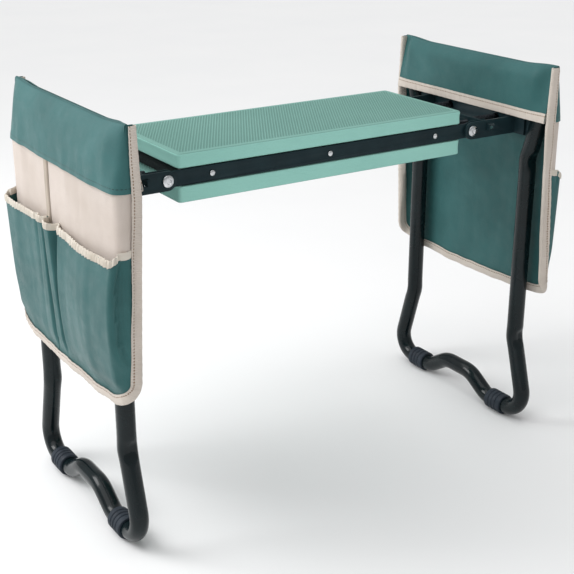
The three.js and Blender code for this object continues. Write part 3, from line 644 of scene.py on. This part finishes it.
# ---- lock
def guide_bolt(end, side):
    """Hexagon-headed bolt with a threaded shank."""
    node = f"guide_bolt_{end}_{depth_name(end, side)}"
    low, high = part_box(node)
    radius, pitch, thread_depth, head = 0.003, 0.0016, 0.00045, 0.0045
    length = high.x - low.x
    way = 1 if end == "right" else -1
    tip = low.x if way > 0 else high.x
    origin = (tip, (low.y + high.y) / 2, (low.z + high.z) / 2)
    profile = [(0.0, 0.0), (radius - 0.0009, 0.0), (radius - 0.0004, 0.0007)]
    along = 0.001
    while along < length - head - pitch:
        profile += [(radius, along), (radius - thread_depth, along + pitch / 2)]
        along += pitch
    profile += [(radius, length - head), (radius, length - head + 0.0002)]
    reach = (high.z - low.z) / 2
    profile += [(reach * 0.95, length - head + 0.0002), (reach, length - head + 0.0006),
                (reach, length - 0.0008), (reach * 0.88, length), (0.0, length)]
    piece = lathe(node + "_turned", profile, origin, (way, 0, 0), black_steel, sides=24)
    for vertex in piece.data.vertices:  # the head's corners are drawn in to a hexagon
        if (vertex.co.x - tip) * way > length - head:
            spot = vertex.co - Vector((vertex.co.x, origin[1], origin[2]))
            angle = math.atan2(spot.z, spot.y)
            off = (angle + math.pi / 6) % (math.pi / 3) - math.pi / 6
            limit = reach * math.cos(math.pi / 6) / math.cos(abs(off) - math.pi / 6)
            if spot.length > limit:
                spot *= limit / spot.length
                vertex.co.y, vertex.co.z = origin[1] + spot.y, origin[2] + spot.z
    return finish_piece(piece, f"leg_{end}", "black_steel", node)


def lock_spring(end, side):
    """Compression spring with closed ends."""
    node = f"lock_spring_{end}_{depth_name(end, side)}"
    low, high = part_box(node)
    wire, sides, steps = 0.0007, 10, 28
    coil = (high.y - low.y) / 2 - wire  # radius of the wire's middle line
    centre = (low + high) / 2
    turns, closed, lead = 10.0, 1.0, 2.1 * wire
    length = high.x - low.x - 2 * wire
    free = length - 2 * closed * lead
    total = int(turns * steps)
    points = []

    def along(turn):
        """Place of a turn: tightly wound for the closed turn at each end."""
        if turn < closed:
            return turn * lead
        if turn > turns - closed:
            return length - (turns - turn) * lead
        return closed * lead + free * (turn - closed) / (turns - 2 * closed)

    for i in range(total + 1):
        turn = turns * i / total
        angle = 2 * math.pi * turn
        radial = Vector((0, math.cos(angle), math.sin(angle)))
        middle = Vector((low.x + wire + along(turn), centre.y, centre.z)) + radial * coil
        for k in range(sides):
            spin = 2 * math.pi * k / sides
            points.append(middle + (radial * math.cos(spin) + Vector((math.sin(spin), 0, 0))) * wire)
    faces = ring_faces(total + 1, sides)
    faces += [list(range(sides)), [total * sides + k for k in range(sides)][::-1]]
    piece = add_mesh(node + "_wound", points, faces, black_steel)
    finish_piece(piece, f"leg_{end}", "black_steel", node)
    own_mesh(piece)


def add_leg(end):
    leg_tube(end)
    eased(f"crossbar_{end}", f"leg_{end}", "dark_steel", dark_steel, 0.0004)
    eased(f"lock_bar_{end}", f"lock_{end}", "dark_steel", dark_steel, 0.0004)
    for side in SIDES:
        label = f"{end}_{depth_name(end, side)}"
        eased(f"hinge_arm_{label}", f"leg_{end}", "dark_steel", dark_steel, 0.0005)
        eased(f"guide_nut_{label}", f"leg_{end}", "black_steel", black_steel, 0.0004)
        guide_bolt(end, side)
        lock_spring(end, side)
        foot_sleeve(end, side)


# ---- pouches
hood_low, hood_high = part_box("pouch_hood_right")
HALF = hood_high.y - 0.001  # from the middle to the cloth of a side wall
CORNER = 0.010  # radius where the panel turns into a side wall
BASE_X = LEG_X + TUBE_R + 0.0024  # inner face of the panel's cloth
POUCH_TOP = hood_high.z
POUCH_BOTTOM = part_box("pouch_binding_right")[0].z
BAND_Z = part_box("pouch_panel_right")[1].z + 0.0015  # lower edge of the hood's outer side
FLAP_Z = hood_low.z
SHOULDER_Z = TOP_Z - 0.006
MOUTH_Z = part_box("pouch_pocket_wide_right")[1].z + 0.001
FIN = 0.0008  # half the thickness of the sewn ridge
MAIN_U = HALF - CORNER
ARC_U = MAIN_U + CORNER * math.pi / 2
WALL_FOOT_X, WALL_WAIST_X, WALL_TOP_X = 0.2880, 0.2785, 0.2815  # free edge of a side wall
SLANT_FOOT_Z, SLANT_TOP_Z = 0.22, 0.42  # where that edge slants from the first to the second
CUT_CORNER_U, CUT_CORNER_Z = 0.045, 0.032  # round bottom corners of the cut cloth
BEND_Z = POUCH_BOTTOM + CUT_CORNER_Z
DIVIDER_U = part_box("pouch_pocket_wide_right")[0].y
TAPE_WIDTH = 0.011
FLAP_TAPE_WIDTH = 0.012
MOUTH_TAPE_WIDTH = 0.0065
CLOTH = 0.0008
TAPE_CLOTH = 0.0007
BASE_OUT = 0.0024  # from the base cloth's inner face to a pocket's cloth
POCKET_FULLNESS = {"left": 1.0, "right": 0.55}
HOOD_COLUMNS = 110


def wall_edge(z):
    """X of a side wall's free edge."""
    waist = mix(WALL_FOOT_X, WALL_WAIST_X, share(z, SLANT_FOOT_Z, SLANT_TOP_Z))
    return mix(waist, WALL_TOP_X, share(z, SLANT_TOP_Z, POUCH_TOP))


def wall_reach(z):
    """U of a side wall's free edge."""
    return ARC_U + BASE_X - CORNER - wall_edge(z)


def cut_reach(z):
    """Half width of the cut cloth at a height: less at its round bottom corners."""
    drop = min(max((BEND_Z - z) / CUT_CORNER_Z, 0.0), 1.0)
    return wall_reach(max(z, BEND_Z)) - CUT_CORNER_U * (1 - math.sqrt(1 - drop * drop))


def closing(z, u, outer=True):
    """1 where the hood hangs clear of the tube, and 0 at its ridge.

    Over the tube the cloth rounds the tube. Past its ends it falls nearly straight.
    """
    if outer:
        over_tube = (1 - share(z, SHOULDER_Z - 0.02, POUCH_TOP) ** 2) ** 0.7
    else:
        over_tube = (1 - share(z, SHOULDER_Z, POUCH_TOP) ** 2.2) ** 0.6
    past_tube = (1 - share(z, BAND_Z, POUCH_TOP)) ** 0.9
    return mix(over_tube, past_tube, smooth(abs(u), 0.122, 0.143))


def settle(u, z):
    """The height a point hangs at: the ridge and the bottom edge both sag in their middle."""
    ridge = 0.003 * (1 - smooth(abs(u), 0.09, 0.14)) * smooth(z, SHOULDER_Z, POUCH_TOP)
    bottom = (1 - smooth(abs(u), 0.03, 0.13)) * (1 - smooth(z, POUCH_BOTTOM, POUCH_BOTTOM + 0.09))
    ripple = 0.0012 * noise.noise(Vector((u * 45, 0, 4.0))) * (1 - smooth(z, POUCH_BOTTOM, BEND_Z))
    return z - ridge - 0.004 * bottom + ripple


def folds(u, z):
    """Soft upright folds that every layer of the panel shares."""
    fade = (1 - smooth(abs(u), 0.10, 0.14)) * (1 - smooth(z, SHOULDER_Z - 0.03, SHOULDER_Z))
    wave = noise.noise(Vector((u * 24, z * 3.5, 0.7))) + 0.5 * noise.noise(Vector((u * 60, z * 7.0, 3.1)))
    return fade * 0.0020 * (0.8 + wave)


def apron(u, z, out, bulge=0.0):
    """A point of the pouch: u along its width from the middle, z up, out from its base cloth.

    bulge moves it straight away from the leg. A side wall then sinks between its fold and the panel.
    """
    gape = closing(z, u)
    front = LEG_X + FIN + (BASE_X - LEG_X - FIN) * gape
    turn = mix(0.0015, mix(CORNER, 0.0035, share(bulge, 0.0, 0.008)), gape)
    sign, reach = math.copysign(1, u), abs(u)
    if reach <= MAIN_U:
        spot, normal = Vector((front, u * (HALF - turn) / MAIN_U, z)), Vector((1, 0, 0))
    elif reach <= ARC_U:
        angle = math.pi / 2 * (reach - MAIN_U) / (ARC_U - MAIN_U)
        normal = Vector((math.cos(angle), sign * math.sin(angle), 0))
        spot = Vector((front - turn, sign * (HALF - turn), z)) + normal * turn
    else:
        edge, width = wall_edge(z), wall_reach(z) - ARC_U
        inset = wall_reach(z) - reach
        slack = width - (front - turn - edge)
        x = edge + inset - slack * (inset / width) ** 3
        hollow = 0.0045 * smooth(z, BEND_Z, BEND_Z + 0.06) * (1 - smooth(z, MOUTH_Z - 0.005, MOUTH_Z + 0.045))
        sink = hollow * math.sin(math.pi * share(x + bulge, edge, BASE_X - CORNER))
        sink += 0.35 * bulge * math.sin(math.pi * share(x + bulge, BASE_X - 0.003, front + bulge + 0.002))
        spot, normal = Vector((x, sign * (HALF - sink), z)), Vector((0, sign, 0))
    spot = spot + normal * (out + folds(u, z))
    return Vector((spot.x + bulge, spot.y, settle(u, z)))


def heights(low, high):
    """Heights from low to high, closer together where the bottom corners turn."""
    levels, pitch = [], 0.004
    if low < BEND_Z:
        first = math.acos(min((BEND_Z - low) / CUT_CORNER_Z, 1.0))
        steps = 16
        angles = stops(first, math.pi / 2, steps)[:-1]
        levels = [BEND_Z - CUT_CORNER_Z * math.cos(angle) for angle in angles]
        low = BEND_Z
    return levels + stops(low, high, max(int((high - low) / pitch), 2))


def sewn(name, end, rows, thickness, material, *nodes, **sheet):
    """A sheet of a pouch, from rows of (point, UV)."""
    grid = [[point for point, _ in row] for row in rows]
    flat = [[spot for _, spot in row] for row in rows]
    piece = thick_sheet(name, grid, thickness, material, ENDS[end], flat)
    slot = "green_fabric" if material in (canvas, lit_hood_canvas) else "beige_fabric"
    return finish_piece(piece, f"pouch_{end}", slot, *nodes)


def base_sheet(name, end, low, high, inset, out, material, *nodes, **sheet):
    """One layer of the panel and its side walls, inset from the cut edge."""
    columns, rows = 96, []
    for z in heights(low, high):
        reach = cut_reach(z) - inset
        rows.append([(apron(u, z, out), (u, z)) for u in stops(-reach, reach, columns)])
    return sewn(name, end, rows, CLOTH, material, *nodes, **sheet)


def run_length(row):
    return sum((b[0] - a[0]).length for a, b in zip(row, row[1:]))


def pocket_bulge(wide, fullness):
    """How far a pocket stands out of the panel, as a function of u and z."""
    low = POUCH_BOTTOM + 0.009

    def bulge(u, z):
        h = share(z, low, MOUTH_Z)
        from_seam = abs(u - DIVIDER_U)
        reach = cut_reach(z)
        from_edge = max(reach - u if wide else reach + u, 0.0)
        by_wall = min(from_edge / max(reach - ARC_U, 0.012), 1.0)
        fade = mix(smooth(from_edge, 0.007, 0.028), by_wall, smooth(z, BEND_Z, BEND_Z + 0.04))
        fade *= smooth(z, low, low + 0.028)
        wave = noise.noise(Vector((u * 34, z * 4.0, 5.0 if wide else 9.0)))
        wave *= smooth(from_seam, 0.0, 0.02)
        if wide:  # a pleat stands up beside the seam, then a valley, then the pocket's body
            fold = 0.004 + 0.003 * h + 0.010 * math.sin(math.pi * h)
            body = 0.6 * smooth(from_seam, 0.0275, 0.036) + 0.4 * smooth(from_seam, 0.036, 0.12)
            pleat = smooth(from_seam, 0.0, 0.012) * (1 - smooth(from_seam, 0.022, 0.0265))
            crest = (0.004 + 0.008 * h) * pleat
        else:  # a narrow crease runs down beside the seam
            fold = 0.004 + 0.007 * h ** 0.9
            body = 0.8 * smooth(from_seam, 0.0, 0.0045) + 0.2 * smooth(from_seam, 0.03, 0.12)
            crest = -0.45 * fold * h * math.exp(-(((from_seam - 0.021) / 0.005) ** 2))
        return fullness * max(fold * (body + 0.16 * wave) + crest, 0.0) * fade

    return bulge


def mouth_height(wide, u):
    """Height of a pocket's mouth: it dips between its seams and rises to the side wall."""
    span = wall_reach(MOUTH_Z) - DIVIDER_U if wide else wall_reach(MOUTH_Z) + DIVIDER_U
    along = abs(u - DIVIDER_U) / span
    return MOUTH_Z - 0.0045 * math.sin(math.pi * along) + 0.009 * smooth(along, 0.84, 1.0)


def pocket_span(wide):
    """U where a pocket's mouth starts and stops: just beside the seam, and at the free edge."""
    gap, edge = 0.0008, wall_reach(MOUTH_Z)
    return (DIVIDER_U + gap, edge) if wide else (-edge, DIVIDER_U - gap)


def pocket_cloth(end, wide):
    """The front of a pocket, from under the binding up to its mouth."""
    kind, columns = ("wide", 150) if wide else ("narrow", 110)
    node = f"pouch_pocket_{kind}_{end}"
    bulge = pocket_bulge(wide, POCKET_FULLNESS[end])
    start, stop = pocket_span(wide)
    low, rows = POUCH_BOTTOM + 0.003, []
    for z in heights(low, MOUTH_Z):
        reach = cut_reach(z) - 0.002
        left, right = max(start, -reach), min(stop, reach)
        lift = smooth(z, MOUTH_Z - 0.05, MOUTH_Z)
        row = []
        for u in stops(left, right, columns):
            lifted = z + lift * (mouth_height(wide, u) - MOUTH_Z)
            row.append((apron(u, lifted, BASE_OUT, bulge(u, lifted)), (u, lifted)))
        rows.append(row)
    return sewn(node + "_cloth", end, rows, CLOTH, canvas, node, held="hung",
                flat=(run_length(rows[len(rows) // 2]), MOUTH_Z - low), rests_on=[f"pouch_panel_{end}_cloth"])


def mouth_band(end, wide, cloth):
    """Gathered tape folded over a pocket's mouth. It lies flat where it meets a seam or the binding."""
    kind = "wide" if wide else "narrow"
    bulge = pocket_bulge(wide, POCKET_FULLNESS[end])
    start, stop = pocket_span(wide)
    by_seam, by_edge, spacing = 0.0006, 0.006, 0.0011
    first, last = (start + by_seam, stop - by_edge) if wide else (start + by_edge, stop - by_seam)
    width, lift = MOUTH_TAPE_WIDTH, 0.0010
    section = [(-width, lift), (-width / 2, lift + 0.0002), (-0.001, lift), (0.0006, lift * 0.6),
               (0.0011, 0.0), (0.0006, -lift * 0.6), (-0.001, -lift), (-width / 2, -lift), (-width, -lift)]
    count, rows = int((stop - start) / spacing), []
    for drop, away in section:
        row = []
        for u in stops(first, last, count):
            z = mouth_height(wide, u)
            by_end = smooth(wall_reach(MOUTH_Z) - abs(u), 0.006, 0.018)
            free = by_end * smooth(abs(u - DIVIDER_U), 0.0, 0.004)
            crinkle = 0.0008 * free * math.sin(u * 1250 + 2.0 * math.sin(u * 190))
            crinkle *= 1.0 if away >= 0 else 0.3
            wobble = 0.0005 * math.sin(u * 900 + 1.7)
            out = BASE_OUT + away * (0.5 + 0.5 * free) + crinkle
            point = apron(u, z + drop + wobble, out, bulge(u, z + drop))
            row.append((point, (u, drop if away >= 0 else -drop)))
        rows.append(row)
    sewn(f"pouch_mouth_tape_{kind}_{end}", end, rows, 0.0006, mouth_tape, held="gathered",
         flat=(run_length(rows[0]), 2 * width + 0.003), rests_on=[cloth.name])


def binding_route():
    """(u, z, way in) round the cut edge: down one side wall, round the bottom and up the other."""
    top, steps, turns = POUCH_TOP - 0.0015, 70, 24
    route = []
    for i in range(steps):
        z = mix(top, BEND_Z, i / steps)
        route.append((wall_reach(z), z, (-1, 0)))
    centre = wall_reach(BEND_Z) - CUT_CORNER_U
    for i in range(turns):
        angle = math.pi / 2 * i / turns
        u, z = math.cos(angle), math.sin(angle)
        way = Vector((-u / CUT_CORNER_U, z / CUT_CORNER_Z)).normalized()
        route.append((centre + CUT_CORNER_U * u, BEND_Z - CUT_CORNER_Z * z, tuple(way)))
    for i in range(steps // 2 + 1):
        route.append((centre * (1 - 2 * i / steps), POUCH_BOTTOM, (0, 1)))
    return route + [(-u, z, (-way[0], way[1])) for u, z, way in reversed(route[:-1])]


def binding(end):
    """Tape folded over the whole cut edge, from the ridge round the bottom and back up."""
    width = TAPE_WIDTH
    section = [(width, 0.0042), (width * 0.55, 0.0043), (0.0015, 0.0037), (-0.0004, 0.0026),
               (-0.0010, 0.0012), (-0.0004, -0.0002), (0.0015, -0.0011), (width * 0.55, -0.0012),
               (width, -0.0011)]
    rows, length, route = [], 0.0, binding_route()
    previous = route[0]
    for u, z, (way_u, way_z) in route:
        length += math.hypot(u - previous[0], z - previous[1])
        previous = (u, z)
        pucker = 0.0003 * math.sin(length * 620) + 0.0004 * noise.noise(Vector((length * 60, 0, 2)))
        sway = 0.0007 * noise.noise(Vector((length * 30, 0, 7)))
        row = []
        for inset, out in section:
            inset += sway * (inset > 0.004)
            point = apron(u + way_u * inset, z + way_z * inset, out + (pucker if out > 0.001 else 0.0))
            row.append((point, (length, inset if out > 0.0012 else -inset)))
        rows.append(row)
    sewn(f"pouch_binding_{end}_tape", end, rows, 0.0008, tape, f"pouch_binding_{end}",
         flat=(length, 2 * width), held="folded", rests_on=[f"pouch_lining_{end}_cloth"])


def hood_heights(low):
    """Heights from the hood's lower edge to its ridge, closer together as the cloth rounds the tube."""
    rows = 26
    straight = stops(low, SHOULDER_Z, 14)[:-1]
    top = POUCH_TOP - 0.0006
    return straight + [mix(SHOULDER_Z, top, math.sin(math.pi / 2 * i / rows)) for i in range(rows + 1)]


def hood_band(end):
    """The hood's outer side, with a double hem that flares a little."""
    def band_out(u, z):
        front = 1 - smooth(abs(u), MAIN_U - 0.005, ARC_U)
        hem = 1 - smooth(z, BAND_Z + 0.007, BAND_Z + 0.009)
        flare = 0.0010 * (1 - smooth(z, BAND_Z, BAND_Z + 0.03))
        return (0.0023 + (0.0005 + 0.0005 * hem + flare) * front) * min(closing(z, u) + 0.2, 1.0)

    rows = []
    for z in hood_heights(BAND_Z):
        reach = wall_reach(z) - 0.002
        rows.append([(apron(u, z, band_out(u, z)), (u, z)) for u in stops(-reach, reach, HOOD_COLUMNS)])
    return sewn(f"pouch_hood_{end}_band", end, rows, CLOTH, lit_hood_canvas, f"pouch_hood_{end}", held="hung",
                flat=(2 * wall_reach(BAND_Z), POUCH_TOP - BAND_Z), rests_on=[f"leg_tube_{end}_bent"])


def flap_point(y, z, out):
    """A point of the inner flap, which hangs down the seat's side of the leg."""
    gape = closing(z, y, outer=False)
    inner = LEG_X - FIN - (LEG_X - hood_low.x + 0.0006 - FIN) * gape
    edge = smooth(abs(y), HALF - 0.010, HALF)
    wave = noise.noise(Vector((y * 22, z * 6.0, 12.0))) * 0.0013 * gape * (1 - edge)
    return Vector((inner - out - 0.0004 - wave, y, settle(y, z)))


def hood_flap(end):
    """The hood's inner side."""
    half, rows = HALF - 0.001, []
    for z in hood_heights(FLAP_Z + 0.002):
        rows.append([(flap_point(y, z, 0.0), (y, z)) for y in stops(-half, half, HOOD_COLUMNS)])
    return sewn(f"pouch_flap_{end}_cloth", end, rows, CLOTH, canvas, held="hung",
                flat=(2 * HALF, POUCH_TOP - FLAP_Z), rests_on=[f"leg_tube_{end}_bent"])


def hood_ridge(end, band):
    """The seam along the top, where both sides of the hood are folded in and sewn together."""
    section = [(0.0024, -0.0070), (0.0022, -0.0030), (0.0016, -0.0009), (0.0006, 0.0), (-0.0006, 0.0),
               (-0.0016, -0.0009), (-0.0022, -0.0030), (-0.0024, -0.0070)]
    half, spacing, rows = HALF + 0.001, 0.0025, []
    for i, (away, drop) in enumerate(section):
        row = []
        for y in stops(-half, half, HOOD_COLUMNS):
            x = LEG_X + away + 0.0003 * noise.noise(Vector((y * 40, 0, 6)))
            row.append((Vector((x, y, settle(y, POUCH_TOP + drop))), (y, (i + 1) * spacing)))
        rows.append(row)
    sewn(f"pouch_ridge_{end}", end, rows, 0.0008, canvas, flat=(2 * HALF, 0.018), held="folded",
         rests_on=[band.name])


def flap_tape(end, flap):
    """Tape folded over the flap's lower edge."""
    width, half, low = FLAP_TAPE_WIDTH, HALF - 0.001, FLAP_Z + 0.001
    section = [(width, 0.0010), (width * 0.5, 0.0011), (0.0012, 0.0010), (0.0, 0.0004),
               (0.0, -0.0004), (0.0012, -0.0010), (width * 0.5, -0.0010), (width, -0.0010)]
    rows = []
    for up, out in section:
        row = []
        for y in stops(-half, half, 2 * HOOD_COLUMNS):
            pucker = 0.0002 * math.sin(y * 600) * (out > 0)
            row.append((flap_point(y, low + up, out + pucker), (y, up if out > 0 else -up)))
        rows.append(row)
    sewn(f"pouch_flap_tape_{end}", end, rows, TAPE_CLOTH, tape, flat=(2 * half, 2 * width),
         held="folded", rests_on=[flap.name])


def seam_strip(end):
    """Flat strip sewn up the panel over the seam between the pockets."""
    half, low, high, steps = 0.0050, MOUTH_Z - 0.030, BAND_Z + 0.012, 30
    section = [(-half, 0.0021), (-half + 0.0006, 0.0032), (-half / 2, 0.0035), (0.0, 0.0030),
               (half / 2, 0.0035), (half - 0.0006, 0.0032), (half, 0.0021)]
    rows = []
    for z in stops(low, high, steps):
        lean = 0.0006 * noise.noise(Vector((z * 30, 0, 8)))
        rows.append([(apron(DIVIDER_U + across + lean, z, out), (z, across)) for across, out in section])
    sewn(f"pouch_seam_strip_{end}", end, rows, TAPE_CLOTH, strip_cloth, flat=(2 * half, high - low),
         held="stretched", rests_on=[f"pouch_panel_{end}_cloth"])


def pouch_base(end):
    """The two layers that the pockets are sewn to: green inside and beige outside."""
    upper, width = BAND_Z + 0.030, 2 * wall_reach(BAND_Z)
    back = base_sheet(f"pouch_lining_{end}_cloth", end, POUCH_BOTTOM + 0.001, SHOULDER_Z, 0.001,
                      CLOTH / 2, canvas, flat=(width, SHOULDER_Z - POUCH_BOTTOM), held="hung",
                      rests_on=[f"leg_tube_{end}_bent"])
    base_sheet(f"pouch_panel_{end}_cloth", end, POUCH_BOTTOM + 0.003, upper, 0.003,
               0.0015, lining, f"pouch_panel_{end}", flat=(width, upper - POUCH_BOTTOM), held="hung",
               rests_on=[back.name])


def add_pouch(end):
    pouch_base(end)
    seam_strip(end)
    for wide in (False, True):
        mouth_band(end, wide, pocket_cloth(end, wide))
    binding(end)
    band, flap = hood_band(end), hood_flap(end)
    hood_ridge(end, band)
    flap_tape(end, flap)


# ---- stage, lights and camera
def add_floor():
    size, drop = 40.0, 0.0005
    bpy.ops.mesh.primitive_plane_add(size=size, location=(0, 0, CAD_BOX[0].z - drop))
    floor = bpy.context.object
    floor.name = "studio_floor"
    made = Finish("studio_floor", roughness=0.9)
    made.tone(made.noise(3.0), rgb(250, 250, 250), rgb(244, 245, 246))
    floor.data.materials.append(made.material)


def add_light(kind, energy, way, **settings):
    """A light that shines along way."""
    name = "sun_light" if kind == "SUN" else "key_light"
    light = add_object(name, bpy.data.lights.new(name, kind))
    light.data.energy = energy
    for key, value in settings.items():
        setattr(light.data, key, value)
    light.rotation_euler = Vector(way).to_track_quat("-Z", "Y").to_euler()
    return light


def add_studio():
    """Even white surroundings, a wide soft sun, and a soft key light on the left pouch."""
    world = bpy.data.worlds.new("studio")
    world.use_nodes = True
    background = world.node_tree.nodes["Background"]
    background.inputs["Color"].default_value = (1, 1, 1, 1)
    background.inputs["Strength"].default_value = 0.48
    bpy.context.scene.world = world
    bpy.context.scene.view_settings.view_transform = "Standard"
    add_light("SUN", 1.5, (0.35, -0.12, -0.93), angle=math.radians(70))
    target, place = Vector((0, 0, 0.25)), Vector((-1.25, 0.75, 1.15))
    key = add_light("AREA", 13, target - place, size=0.8)
    key.location = place


def add_camera():
    azimuth, elevation, distance = math.radians(-32.75), math.radians(21.0), 1.483
    middle = (CAD_BOX[0] + CAD_BOX[1]) / 2
    target = middle + Vector((-0.008, 0.002, -0.028))
    level = Vector((math.sin(azimuth), -math.cos(azimuth), 0)) * math.cos(elevation)
    place = target + (level + Vector((0, 0, math.sin(elevation)))) * distance
    camera = add_object("camera", bpy.data.cameras.new("camera"))
    camera.data.lens = 72.6
    camera.data.sensor_width = 36
    camera.location = place
    camera.rotation_euler = (target - place).to_track_quat("-Z", "Y").to_euler()
    bpy.context.scene.camera = camera


add_camera()
add_studio()
add_floor()
add_seat()
for end in ENDS:
    add_leg(end)
    add_pouch(end)
